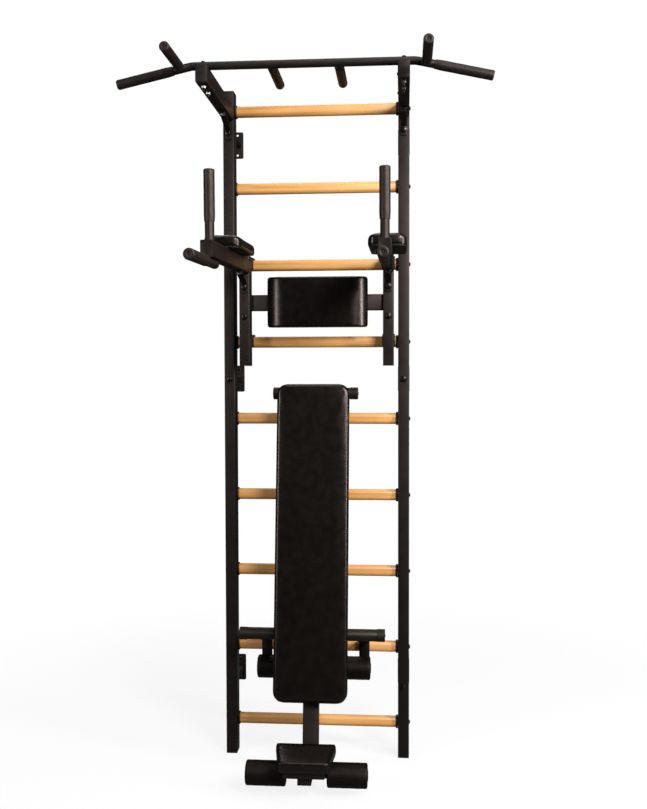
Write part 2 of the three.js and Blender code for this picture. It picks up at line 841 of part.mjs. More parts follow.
// A lobed hand knob on a screw, along +X, with the foot of the screw at the origin.
function clampKnob() {
  const shape = new THREE.Shape();
  const steps = knob.lobes * 6;
  for (let step = 0; step <= steps; step += 1) {
    const angle = (2 * Math.PI * step) / steps;
    const radius = (knob.diameter / 2) * (0.92 + 0.08 * Math.cos(knob.lobes * angle));
    if (step === 0) shape.moveTo(radius, 0);
    else if (step < steps) shape.lineTo(radius * Math.cos(angle), radius * Math.sin(angle));
  }
  const neckStart = tubeWall + 2;
  const head = extrude(shape, knob.length, "x");
  head.translate(neckStart + knob.neckLength + knob.length / 2, 0, 0);
  const neck = rod(knob.neckDiameter, knob.neckLength + 1, "x", 14);
  neck.translate(neckStart + knob.neckLength / 2 + 0.5, 0, 0);
  const screw = rod(knob.screwDiameter, neckStart + 1, "x", 12).translate(neckStart / 2 + 0.5, 0, 0);
  return join(head, neck, screw);
}

function makeBench(group) {
  const frame = new THREE.Group();
  frame.position.set(bench.offsetX, bench.topY, bench.topZ);
  frame.rotation.x = -bench.lean * degrees;
  group.add(frame);

  const padSection = roundedRectangle(bench.padWidth, bench.padLength, bench.padCornerRadius);
  const pad = addPart(frame, "bench_pad", extrude(padSection, bench.padThickness, "y", 4), "vinyl");
  pad.position.set(0, bench.padThickness / 2, -bench.padLength / 2);
  addPart(frame, "bench_beam", benchBeam(), "steel");

  const footBar = addPart(frame, "foot_bar", rod(bench.barDiameter, bench.footBarLength, "x", 22), "steel");
  const footBarY = beamMiddleY + (bench.beamDepth + bench.barDiameter) / 2 + gap;
  footBar.position.set(0, footBarY, -bench.footBarDown);
  addPart(frame, "hook_bar", hookBar(), "steel");
  addPart(frame, "ankle_roller_bracket", ankleBracket(), "steel");
  addPart(frame, "seat_carriage", seatCarriage(), "steel");
  addPart(frame, "seat_pad", seatPad(), "vinyl");

  const screw = addPart(frame, "clamp_knob", clampKnob(), "plastic");
  screw.position.set(bench.postWidth / 2 + gap, beamMiddleY, -knob.down);

  const rollerX = roller.outerX - roller.length / 2;
  const sets = [["ankle", roller.ankleY, roller.ankleZ], ["knee", roller.kneeY, roller.kneeZ]];
  for (const [name, y, z] of sets) {
    const place = toBench(y, z);
    for (const [side, sign] of [["left", -1], ["right", 1]]) {
      const sleeve = addPart(frame, `${side}_${name}_roller`, rollerSleeve(), "foam");
      sleeve.position.set(sign * rollerX, place.y, place.z);
    }
  }
}

// ---- assembly ----

const model = new THREE.Group();
model.position.y = -standOff;
makeLadder(model);
makeRungs(model);
makeWallBrackets(model);
makePullUp(model);
const dipStation = new THREE.Group();
dipStation.position.x = dip.offsetX;
model.add(dipStation);
makeDipStation(dipStation);
makeBench(model);

export default model;
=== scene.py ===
import json
import math

import bmesh
import bpy
import numpy as np
from mathutils import Matrix, Vector, noise


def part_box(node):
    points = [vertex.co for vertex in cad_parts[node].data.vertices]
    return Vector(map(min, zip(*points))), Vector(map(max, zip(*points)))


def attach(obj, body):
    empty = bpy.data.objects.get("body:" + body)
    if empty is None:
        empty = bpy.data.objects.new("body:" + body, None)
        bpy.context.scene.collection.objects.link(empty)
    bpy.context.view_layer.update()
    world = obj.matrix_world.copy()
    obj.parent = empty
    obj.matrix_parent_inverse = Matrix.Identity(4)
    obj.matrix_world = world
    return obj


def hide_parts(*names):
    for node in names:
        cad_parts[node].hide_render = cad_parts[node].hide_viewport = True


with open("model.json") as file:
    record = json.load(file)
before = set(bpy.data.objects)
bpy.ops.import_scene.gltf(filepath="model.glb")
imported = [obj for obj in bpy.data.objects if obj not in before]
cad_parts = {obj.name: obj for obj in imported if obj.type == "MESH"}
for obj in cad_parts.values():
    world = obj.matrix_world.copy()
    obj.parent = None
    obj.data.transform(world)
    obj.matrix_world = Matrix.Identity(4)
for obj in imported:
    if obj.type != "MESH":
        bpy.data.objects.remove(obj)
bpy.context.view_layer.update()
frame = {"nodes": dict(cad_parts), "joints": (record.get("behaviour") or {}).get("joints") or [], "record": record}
scene = bpy.context.scene
sides = (("left", -1), ("right", 1))
bodyOf = {node: body for body, nodes in frame["record"]["behaviour"]["bodies"].items() for node in nodes}
print("frame loaded,", len(frame["nodes"]), "nodes")


# camera

camera = {
    "place": (0.316, -3.770, 1.417),
    "heading": 4.64,  # degrees, turned to the left
    "tilt": -2.09,
    "roll": -0.13,
    "lens": 44.14,
}


def addCamera():
    eye = bpy.data.objects.new("viewCamera", bpy.data.cameras.new("viewCamera"))
    eye.data.lens = camera["lens"]
    turn = Matrix.Rotation(math.radians(camera["heading"]), 4, "Z")
    turn = turn @ Matrix.Rotation(math.radians(90 + camera["tilt"]), 4, "X")
    turn = turn @ Matrix.Rotation(math.radians(camera["roll"]), 4, "Z")
    eye.matrix_world = Matrix.Translation(camera["place"]) @ turn
    scene.collection.objects.link(eye)
    scene.camera = eye


addCamera()


# finishes

def addNode(tree, kind, inputs=None, **settings):
    node = tree.nodes.new(kind)
    for name, value in settings.items():
        setattr(node, name, value)
    for name, value in (inputs or {}).items():
        node.inputs[name].default_value = value
    return node


def joinNodes(tree, source, output, target, socket):
    tree.links.new(source.outputs[output], target.inputs[socket])


def newFinish(name, slot, **sockets):
    material = bpy.data.materials.new(name)
    material.use_nodes = True
    shader = material.node_tree.nodes["Principled BSDF"]
    for socket, value in sockets.items():
        shader.inputs[socket.replace("_", " ")].default_value = value
    tree = material.node_tree
    coords = addNode(tree, "ShaderNodeTexCoord")
    return {"material": material, "slot": slot, "tree": tree, "shader": shader, "coords": coords}


def stretched(finish, scale):
    mapping = addNode(finish["tree"], "ShaderNodeMapping", {"Scale": scale})
    joinNodes(finish["tree"], finish["coords"], "Object", mapping, "Vector")
    return mapping


def noiseAt(finish, scale, detail=3.0, distortion=0.0, vector=None):
    cloud = addNode(finish["tree"], "ShaderNodeTexNoise",
                    {"Scale": scale, "Detail": detail, "Distortion": distortion})
    source = vector or finish["coords"]
    joinNodes(finish["tree"], source, "Vector" if vector else "Object", cloud, "Vector")
    return cloud


def rampOf(finish, source, output, stops):
    ramp = addNode(finish["tree"], "ShaderNodeValToRGB")
    elements = ramp.color_ramp.elements
    while len(elements) < len(stops):
        elements.new(0.5)
    for element, (place, colour) in zip(elements, stops):
        element.position = place
        element.color = (*colour, 1)
    joinNodes(finish["tree"], source, output, ramp, "Fac")
    return ramp


def spread(finish, source, output, low, high, fromLow=0.3, fromHigh=0.7):
    span = addNode(finish["tree"], "ShaderNodeMapRange",
                   {"From Min": fromLow, "From Max": fromHigh, "To Min": low, "To Max": high})
    joinNodes(finish["tree"], source, output, span, "Value")
    return span


def mixed(finish, first, second, factor, blend="MIX"):
    # each of the three is a (node, output) pair, a colour or a number
    mix = addNode(finish["tree"], "ShaderNodeMix", data_type="RGBA", blend_type=blend)
    for place, value in ((6, first), (7, second), (0, factor)):
        if isinstance(value, tuple) and isinstance(value[0], bpy.types.Node):
            finish["tree"].links.new(value[0].outputs[value[1]], mix.inputs[place])
        else:
            mix.inputs[place].default_value = (*value, 1) if isinstance(value, tuple) else value
    return mix


def addBumps(finish, layers):
    # layers of (node, output, strength, height in metres), the first one lowest
    before = None
    for source, output, strength, height in layers:
        bump = addNode(finish["tree"], "ShaderNodeBump", {"Strength": strength, "Distance": height})
        joinNodes(finish["tree"], source, output, bump, "Height")
        if before:
            joinNodes(finish["tree"], before, "Normal", bump, "Normal")
        before = bump
    joinNodes(finish["tree"], before, "Normal", finish["shader"], "Normal")


warmGloss = (1.0, 0.80, 0.73, 1)


def makePowderCoat():
    coat = newFinish("powderCoat", "black_steel", Specular_IOR_Level=0.40, Specular_Tint=warmGloss)
    tree, shader = coat["tree"], coat["shader"]
    cloud = noiseAt(coat, 6, 5)
    tone = rampOf(coat, cloud, "Fac", ((0.35, (0.0034, 0.0025, 0.0022)), (0.65, (0.0060, 0.0046, 0.0041))))
    grain = noiseAt(coat, 950, 2)
    scuff = noiseAt(coat, 45, 6, 0.6)
    rubbed = spread(coat, scuff, "Fac", 0.0, 1.0, 0.52, 0.66)
    # lighter colour on the bevelled edges where the scuff noise is high: partly edge wear, partly a painted
    # highlight along the rounded edges
    edge = addNode(tree, "ShaderNodeAttribute", attribute_name="edgeWearAndHighlight")
    wearAndHighlight = addNode(tree, "ShaderNodeMath", operation="MULTIPLY")
    joinNodes(tree, edge, "Fac", wearAndHighlight, 0)
    joinNodes(tree, rubbed, "Result", wearAndHighlight, 1)
    colour = mixed(coat, (tone, "Color"), (0.055, 0.050, 0.047), (wearAndHighlight, "Value"))
    tree.links.new(colour.outputs[2], shader.inputs["Base Color"])
    rough = spread(coat, noiseAt(coat, 22, 4), "Fac", 0.44, 0.56)
    joinNodes(tree, rough, "Result", shader, "Roughness")
    addBumps(coat, ((cloud, "Fac", 0.15, 0.0006), (grain, "Fac", 0.35, 0.00018)))
    return coat


def makeBeech():
    beech = newFinish("lacqueredBeech", "beech", Coat_Weight=0.18, Coat_Roughness=0.22)
    tree, shader = beech["tree"], beech["shader"]
    grain = noiseAt(beech, 1, 6, 0.5, stretched(beech, (2.2, 70, 70)))
    colour = rampOf(beech, grain, "Fac", (
        (0.30, (0.56, 0.262, 0.070)), (0.47, (0.70, 0.345, 0.100)),
        (0.60, (0.76, 0.388, 0.121)), (0.75, (0.81, 0.436, 0.150))))
    broad = rampOf(beech, noiseAt(beech, 1, 3, 0, stretched(beech, (3.2, 9, 3.1))), "Fac",
                   ((0.35, (0.88, 0.84, 0.80)), (0.65, (1.0, 1.0, 1.0))))
    toned = mixed(beech, (colour, "Color"), (broad, "Color"), 1.0, "MULTIPLY")
    fleck = noiseAt(beech, 1, 2, 0, stretched(beech, (170, 1300, 1300)))
    flecked = spread(beech, fleck, "Fac", 0.0, 0.45, 0.60, 0.72)
    final = addNode(tree, "ShaderNodeMix", data_type="RGBA")
    tree.links.new(flecked.outputs["Result"], final.inputs[0])
    tree.links.new(toned.outputs[2], final.inputs[6])
    final.inputs[7].default_value = (0.40, 0.17, 0.05, 1)
    tree.links.new(final.outputs[2], shader.inputs["Base Color"])
    rough = spread(beech, grain, "Fac", 0.42, 0.55)
    joinNodes(tree, rough, "Result", shader, "Roughness")
    addBumps(beech, ((grain, "Fac", 0.25, 0.0003), (fleck, "Fac", 0.12, 0.0001)))
    return beech


def makeVinyl():
    vinyl = newFinish("blackVinyl", "black_vinyl", Specular_IOR_Level=0.48, Specular_Tint=warmGloss)
    tree, shader = vinyl["tree"], vinyl["shader"]
    cloud = noiseAt(vinyl, 9, 4)
    tone = rampOf(vinyl, cloud, "Fac", ((0.35, (0.0020, 0.0015, 0.0013)), (0.65, (0.0032, 0.0024, 0.0021))))
    joinNodes(tree, tone, "Color", shader, "Base Color")
    rough = spread(vinyl, noiseAt(vinyl, 35, 5), "Fac", 0.24, 0.31)
    joinNodes(tree, rough, "Result", shader, "Roughness")
    pebble = addNode(tree, "ShaderNodeTexVoronoi", {"Scale": 620, "Randomness": 1.0}, feature="SMOOTH_F1")
    warp = noiseAt(vinyl, 300, 2)
    bent = addNode(tree, "ShaderNodeMix", {0: 0.0015}, data_type="VECTOR")
    joinNodes(tree, vinyl["coords"], "Object", bent, 4)
    joinNodes(tree, warp, "Color", bent, 5)
    joinNodes(tree, bent, 1, pebble, "Vector")
    addBumps(vinyl, ((cloud, "Fac", 0.2, 0.0015), (pebble, "Distance", 0.4, 0.00022)))
    return vinyl


def makeFoam(name, shine, roughLow, roughHigh, dark, light):
    foam = newFinish(name, "black_foam", Specular_IOR_Level=shine, Specular_Tint=warmGloss)
    tree, shader = foam["tree"], foam["shader"]
    cloud = noiseAt(foam, 14, 4)
    tone = rampOf(foam, cloud, "Fac", ((0.35, dark), (0.65, light)))
    cells = addNode(tree, "ShaderNodeTexVoronoi", {"Scale": 1100})
    joinNodes(tree, foam["coords"], "Object", cells, "Vector")
    pores = rampOf(foam, cells, "Distance", ((0.05, (0.55, 0.55, 0.55)), (0.45, (1, 1, 1))))
    colour = mixed(foam, (tone, "Color"), (pores, "Color"), 0.7, "MULTIPLY")
    tree.links.new(colour.outputs[2], shader.inputs["Base Color"])
    rough = spread(foam, noiseAt(foam, 60, 3), "Fac", roughLow, roughHigh)
    joinNodes(tree, rough, "Result", shader, "Roughness")
    addBumps(foam, ((cloud, "Fac", 0.25, 0.0012), (cells, "Distance", 0.5, 0.00025)))
    return foam


def makePlastic():
    plastic = newFinish("mouldedPlastic", "black_plastic", Specular_IOR_Level=0.35, Specular_Tint=warmGloss)
    tree, shader = plastic["tree"], plastic["shader"]
    cloud = noiseAt(plastic, 30, 3)
    tone = rampOf(plastic, cloud, "Fac", ((0.4, (0.0045, 0.0037, 0.0034)), (0.6, (0.0080, 0.0066, 0.0061))))
    joinNodes(tree, tone, "Color", shader, "Base Color")
    rough = spread(plastic, noiseAt(plastic, 120, 3), "Fac", 0.42, 0.58)
    joinNodes(tree, rough, "Result", shader, "Roughness")
    grain = noiseAt(plastic, 1400, 2)
    addBumps(plastic, ((grain, "Fac", 0.4, 0.0001),))
    return plastic


boltBlacks = ((0.0022, 0.0018, 0.0016), (0.0050, 0.0042, 0.0040))
boltBrights = ((0.14, 0.132, 0.128), (0.26, 0.25, 0.245))


def makeBoltSteel(name, slot, colours, metallic, roughLow, roughHigh):
    steel = newFinish(name, slot, Metallic=metallic)
    tree, shader = steel["tree"], steel["shader"]
    cloud = noiseAt(steel, 160, 4)
    tone = rampOf(steel, cloud, "Fac", ((0.35, colours[0]), (0.65, colours[1])))
    joinNodes(tree, tone, "Color", shader, "Base Color")
    rough = spread(steel, noiseAt(steel, 400, 3), "Fac", roughLow, roughHigh)
    joinNodes(tree, rough, "Result", shader, "Roughness")
    addBumps(steel, ((cloud, "Fac", 0.2, 0.0002),))
    return steel


coat = makePowderCoat()
beech = makeBeech()
vinyl = makeVinyl()
gripFoam = makeFoam("gripFoam", 0.40, 0.40, 0.54, (0.0075, 0.0060, 0.0054), (0.0120, 0.0096, 0.0088))
rollerFoam = makeFoam("rollerFoam", 0.22, 0.44, 0.58, (0.0018, 0.0013, 0.0011), (0.0030, 0.0022, 0.0019))
plastic = makePlastic()
blackBolt = makeBoltSteel("blackBolt", "black_steel", boltBlacks, 0.0, 0.22, 0.34)
brightBolt = makeBoltSteel("brightBolt", None, boltBrights, 1.0, 0.22, 0.36)
print("finishes made")


# tools for shapes

def meshOf(bm, name, sharpAngle=35):
    bmesh.ops.recalc_face_normals(bm, faces=bm.faces)
    mesh = bpy.data.meshes.new(name)
    bm.to_mesh(mesh)
    bm.free()
    mesh.polygons.foreach_set("use_smooth", [True] * len(mesh.polygons))
    mesh.set_sharp_from_angle(angle=math.radians(sharpAngle))
    return mesh


def addPiece(name, mesh, finish, body, place=None, replaces=()):
    piece = bpy.data.objects.new(name, mesh)
    scene.collection.objects.link(piece)
    if not mesh.materials:
        mesh.materials.append(finish["material"])
    if place:
        piece.matrix_world = place
    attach(piece, body)
    if replaces:
        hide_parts(*replaces)
    return piece


def camelCase(node):
    first, *rest = node.split("_")
    return first + "".join(word.capitalize() for word in rest)


def towards(place, direction, up="Y"):
    # a frame at a place whose own +Z points in the direction
    turn = Vector(direction).to_track_quat("Z", up).to_matrix().to_4x4()
    return Matrix.Translation(place) @ turn


def lathe(profile, segments=48, looped=False):
    # the profile's points are (height, radius)
    bm = bmesh.new()
    rings = []
    for height, radius in profile:
        count = 1 if radius < 1e-6 else segments
        angles = [2 * math.pi * step / count for step in range(count)]
        rings.append([bm.verts.new((radius * math.cos(a), radius * math.sin(a), height)) for a in angles])
    pairs = list(zip(rings, rings[1:]))
    if looped:
        pairs.append((rings[-1], rings[0]))
    for low, high in pairs:
        for step in range(segments):
            ends = [low[step % len(low)], low[(step + 1) % len(low)]]
            ends += [high[(step + 1) % len(high)], high[step % len(high)]]
            corners = list(dict.fromkeys(ends))
            if len(corners) > 2:
                bm.faces.new(corners)
    return bm


def arc(height, radius, size, start, end, steps=5):
    # part of a circle in a lathe profile; 0 degrees points outwards, 90 up
    angles = [math.radians(start + (end - start) * step / steps) for step in range(steps + 1)]
    return [(height + size * math.sin(a), radius + size * math.cos(a)) for a in angles]


def roundedOutline(width, height, radius, steps=8):
    points = []
    for cornerX, cornerY, start in ((1, -1, -90), (1, 1, 0), (-1, 1, 90), (-1, -1, 180)):
        centreX = cornerX * (width / 2 - radius)
        centreY = cornerY * (height / 2 - radius)
        for step in range(steps + 1):
            a = math.radians(start + 90 * step / steps)
            points.append((centreX + radius * math.cos(a), centreY + radius * math.sin(a)))
    return points


def slab(outline, depth, edge=0.0, steps=3, bothSides=True):
    # an upright extrusion of the outline, from 0 to depth, with its rims rounded
    bm = bmesh.new()
    floor = bm.faces.new([bm.verts.new((x, y, 0)) for x, y in outline])
    raised = bmesh.ops.extrude_face_region(bm, geom=[floor])["geom"]
    top = [v for v in raised if isinstance(v, bmesh.types.BMVert)]
    bmesh.ops.translate(bm, verts=top, vec=(0, 0, depth))
    if edge:
        rims = [e for e in bm.edges if abs(e.verts[0].co.z - e.verts[1].co.z) < 1e-7]
        if not bothSides:
            rims = [e for e in rims if e.verts[0].co.z > depth / 2]
        bmesh.ops.bevel(bm, geom=rims, offset=edge, segments=steps, profile=0.5, affect="EDGES")
    return bm


def refined(node, finish, bevel=0.0012, sharpAngle=35):
    # the node's own shape with its flat facets joined and its hard edges rounded
    bm = bmesh.new()
    bm.from_mesh(frame["nodes"][node].data)
    bmesh.ops.remove_doubles(bm, verts=bm.verts, dist=2e-5)
    bmesh.ops.dissolve_limit(bm, angle_limit=math.radians(1.5), verts=bm.verts, edges=bm.edges)
    hard = [e for e in bm.edges if e.is_manifold and e.calc_face_angle(0) > math.radians(40)]
    made = bmesh.ops.bevel(bm, geom=hard, offset=bevel, segments=2, profile=0.5, affect="EDGES",
                           clamp_overlap=True)
    # the bevel faces are marked for the coat's lighter edge colour, which is partly wear and partly a painted
    # highlight
    layer = bm.loops.layers.float.new("edgeWearAndHighlight")
    for face in made["faces"]:
        for loop in face.loops:
            loop[layer] = 1.0
    mesh = meshOf(bm, camelCase(node), sharpAngle)
    return addPiece(camelCase(node), mesh, finish, bodyOf[node], replaces=(node,))


def spanOf(node, near):
    # a round node's two end middles, the first one nearest to a point, and its radius
    points = np.array([v.co for v in frame["nodes"][node].data.vertices])
    middle = (points.max(0) + points.min(0)) / 2
    axis = np.linalg.svd(points - points.mean(0), full_matrices=False)[2][0]
    along = (points - middle) @ axis
    radial = np.linalg.norm(points - middle - np.outer(along, axis), axis=1)
    ends = [Vector(middle + axis * along.min()), Vector(middle + axis * along.max())]
    ends.sort(key=lambda end: (end - Vector(near)).length)
    return ends[0], ends[1], float(radial.max())


def padFrame(node, toward):
    # a pad's frame, its own +Z out of its soft face and its origin mid-way on its back
    mesh = frame["nodes"][node].data
    normal = Vector()
    for face in mesh.polygons:
        if face.normal.dot(Vector(toward)) > 0.85:
            normal += face.normal * face.area
    normal.normalize()
    across = Vector((1, 0, 0))
    along = normal.cross(across).normalized()
    turn = Matrix((across, along, normal)).transposed()
    points = np.array([v.co for v in mesh.vertices]) @ np.array(turn)
    low, high = points.min(0), points.max(0)
    origin = turn @ Vector(((low[0] + high[0]) / 2, (low[1] + high[1]) / 2, low[2]))
    return Matrix.Translation(origin) @ turn.to_4x4(), high - low, points - (low + high) / 2


# bolts

boltShapes = {
    "domed": {"radius": 0.0075, "height": 0.0042, "socket": 0.0028},
    "small": {"radius": 0.0052, "height": 0.0032, "socket": 0.0020},
    "hex": {"radius": 0.0092, "height": 0.0068, "washer": 0.0118, "washerHeight": 0.0018},
    "nut": {"radius": 0.0078, "height": 0.0070, "washer": 0.0096, "washerHeight": 0.0016,
            "thread": 0.0040, "threadLength": 0.0070},
}


def domedBolt(shape):
    radius, height, socket = shape["radius"], shape["height"], shape["socket"]
    profile = [(0, 0), (0, radius)] + arc(height * 0.25, radius * 0.93, radius * 0.07, 0, 90, 3)
    for step in range(1, 6):
        share = step / 5
        profile.append((height * (0.3 + 0.7 * math.sin(share * math.pi / 2)),
                        radius * 0.93 + (socket * 1.15 - radius * 0.93) * share))
    profile += [(height * 0.98, socket), (height * 0.45, socket * 0.95), (height * 0.40, 0)]
    return lathe(profile, 30)


def hexBolt(shape):
    bm = lathe([(0, 0), (0, shape["washer"])] + arc(shape["washerHeight"] * 0.6, shape["washer"] * 0.96,
               shape["washerHeight"] * 0.4, 0, 90, 3) + [(shape["washerHeight"], 0)], 36)
    base, top = shape["washerHeight"], shape["washerHeight"] + shape["height"]
    levels = ((base, 1.0), (top - 0.0016, 1.0), (top - 0.0004, 0.93), (top, 0.84))
    rings = []
    for height, share in levels:
        ring = []
        for step in range(6):
            a = math.radians(60 * step + 15)
            ring.append(bm.verts.new((shape["radius"] * share * math.cos(a),
                                      shape["radius"] * share * math.sin(a), height)))
        rings.append(ring)
    for low, high in zip(rings, rings[1:]):
        for step in range(6):
            bm.faces.new((low[step], low[(step + 1) % 6], high[(step + 1) % 6], high[step]))
    bm.faces.new(rings[-1])
    bm.faces.new(rings[0])
    if "thread" in shape:
        thread, end = shape["thread"], top + shape["threadLength"]
        turns = int(shape["threadLength"] / 0.00125)
        profile = [(top - 0.001, 0)]
        for turn in range(turns):
            height = top - 0.001 + turn * 0.00125
            profile += [(height, thread), (height + 0.0006, thread - 0.0006)]
        profile += [(end - 0.0005, thread - 0.0002), (end, thread - 0.0010), (end, 0)]
        stud = lathe(profile, 24)
        made = bpy.data.meshes.new("stud")
        stud.to_mesh(made)
        stud.free()
        bm.from_mesh(made)
        bpy.data.meshes.remove(made)
    return bm


boltMeshes = {}


def addBolt(name, kind, place, direction, body, finish=None):
    finish = finish or blackBolt
    key = (kind, finish["material"].name)
    if key not in boltMeshes:
        shape = boltShapes[kind]
        bm = hexBolt(shape) if "washer" in shape else domedBolt(shape)
        boltMeshes[key] = meshOf(bm, f"{kind}Bolt", 30)
    return addPiece(name, boltMeshes[key], finish, body, towards(place, direction))


def weldBead(name, place, direction, radius, body, bead=0.0028):
    # a rippled ring of weld round the foot of a tube
    bm = bmesh.new()
    turns, sides = 72, 8
    rings = []
    for turn in range(turns):
        a = 2 * math.pi * turn / turns
        uneven = noise.noise(Vector((3 * math.cos(a), 3 * math.sin(a), radius)))
        swell = bead * (1 + 0.10 * math.sin(18 * a) + 0.12 * uneven)
        ring = []
        for side in range(sides):
            b = 2 * math.pi * side / sides
            reach = radius + swell * math.cos(b)
            ring.append(bm.verts.new((reach * math.cos(a), reach * math.sin(a), swell * 0.9 * math.sin(b))))
        rings.append(ring)
    for turn in range(turns):
        low, high = rings[turn], rings[(turn + 1) % turns]
        for side in range(sides):
            bm.faces.new((low[side], low[(side + 1) % sides], high[(side + 1) % sides], high[side]))
    return addPiece(name, meshOf(bm, name, 60), coat, body, towards(place, direction))


# ladder

ladder = {
    "bevel": 0.0012,
    "boltedLevels": ("middle", "lower"),
    "capRim": 0.0016,
    "plateThickness": 0.004,
    "screwSpacing": 0.075,
}


def makeLadder():
    for side, sign in sides:
        refined(f"{side}_post", coat, ladder["bevel"])
        for end in ("top", "foot"):
            refined(f"{side}_{end}_cap", plastic, ladder["capRim"])
        low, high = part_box(f"{side}_post")
        middle = (low + high) / 2
        outside = high.x if sign > 0 else low.x
        for index in range(1, 10):
            rungLow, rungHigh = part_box(f"rung_{index}")
            place = (outside, middle.y, (rungLow.z + rungHigh.z) / 2)
            addBolt(f"{side}RungBolt{index}", "domed", place, (sign, 0, 0), "ladder")
        for level in ("upper", "middle", "lower"):
            refined(f"{side}_{level}_wall_bracket", coat, 0.0010)
            plateLow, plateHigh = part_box(f"{side}_{level}_wall_bracket")
            holeMiddle = Vector(((plateLow.x + plateHigh.x) / 2, plateHigh.y - ladder["plateThickness"],
                                 (plateLow.z + plateHigh.z) / 2))
            if level in ladder["boltedLevels"]:
                for count, step in enumerate((-0.5, 0.5)):
                    place = holeMiddle + Vector((0, 0, step * ladder["screwSpacing"]))
                    name = f"{side}{level.capitalize()}WallScrew{count + 1}"
                    addBolt(name, "small", place, (0, -1, 0), "ladder")
                place = (middle.x, low.y, (plateLow.z + plateHigh.z) / 2)
                addBolt(f"{side}{level.capitalize()}PostBolt", "hex", place, (0, -1, 0), "ladder")


rungs = {
    "roundness": 0.0145,
    "endChamfer": 0.0012,
    "ferruleRim": 0.0042,
    "ferruleDepth": 0.0075,
}


def makeRungs():
    for index in range(1, 10):
        node = f"rung_{index}"
        low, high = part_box(node)
        size, middle = high - low, (low + high) / 2
        bm = slab(roundedOutline(size.y, size.z, rungs["roundness"], 10), size.x, rungs["endChamfer"], 2)
        mesh = meshOf(bm, camelCase(node), 50)
        # the outline's width lies along Y and its height along Z
        turn = Matrix(((0, 0, 1), (1, 0, 0), (0, 1, 0))).to_4x4()
        mesh.transform(Matrix.Translation((low.x, middle.y, middle.z)) @ turn)
        addPiece(camelCase(node), mesh, beech, "ladder", replaces=(node,))
        for side, sign in sides:
            rim = 2 * rungs["ferruleRim"]
            outline = roundedOutline(size.y + rim, size.z + rim, rungs["roundness"] + rungs["ferruleRim"], 8)
            ring = meshOf(slab(outline, rungs["ferruleDepth"], 0.0014, 3), f"{side}Ferrule{index}", 40)
            end = high.x if sign > 0 else low.x
            start = end - rungs["ferruleDepth"] if sign > 0 else end
            ring.transform(Matrix.Translation((start, middle.y, middle.z)) @ turn)
            addPiece(f"{side}Ferrule{index}", ring, plastic, "ladder")


makeLadder()
makeRungs()
print("ladder made")


# foam sleeves

sleeve = {
    "rim": 0.0050,
    "taper": 0.022,
    "lip": 0.0014,
    "dimple": 0.0048,
    "dimpleDepth": 0.0022,
}


def sleeveProfile(length, radius, bore):
    # from the open mouth, which tapers, round to the closed tip with its plugged dimple
    rim, taper, lip = sleeve["rim"], sleeve["taper"], sleeve["lip"]
    dimple, depth = sleeve["dimple"], sleeve["dimpleDepth"]
    profile = [(length - 0.008, 0), (length - 0.008, bore), (0.0006, bore), (0.0002, bore + lip * 0.6)]
    for step in range(9):
        share = step / 8
        ease = share * share * (3 - 2 * share)
        profile.append((0.0006 + taper * share, bore + lip + (radius - bore - lip) * ease))
    for step in range(1, 12):
        height = taper + (length - rim - taper) * step / 12
        profile.append((height, radius - 0.00012 + 0.00012 * math.sin(step * 1.7)))
    profile += arc(length - rim, radius - rim, rim, 0, 90, 7)
    profile += [(length, dimple + 0.0006), (length - 0.0006, dimple), (length - depth, dimple * 0.9)]
    profile += [(length - depth, dimple * 0.55), (length - depth * 0.45, dimple * 0.35)]
    profile.append((length - depth * 0.35, 0))
    return profile


def addSleeve(node, near, bore):
    start, end, radius = spanOf(node, near)
    mesh = meshOf(lathe(sleeveProfile((end - start).length, radius, bore), 56), camelCase(node), 50)
    return addPiece(camelCase(node), mesh, gripFoam, bodyOf[node], towards(start, end - start), (node,))


# pull-up unit

pullUp = {
    "stubRadius": 0.0110,
    "barRadius": 0.0130,
    "armBoltSpacing": 0.073,
    "armBoltFront": 0.037,
    "sideBolts": (0.17, 0.62),
    "sideBoltRise": 0.006,
    "strutBoltUp": 0.020,
    "strutBoltIn": 0.015,
    "strutBoltSunk": 0.005,
    "weld": 0.0022,
    "weldSetBack": 0.0035,
    "plugPlay": 0.004,
    "plugDepth": 0.003,
    "plugStandsOut": 0.0012,
    "sleevePlay": 0.0003,
    "barBoltBack": 0.035,
    "barBoltSunk": 0.0006,
}


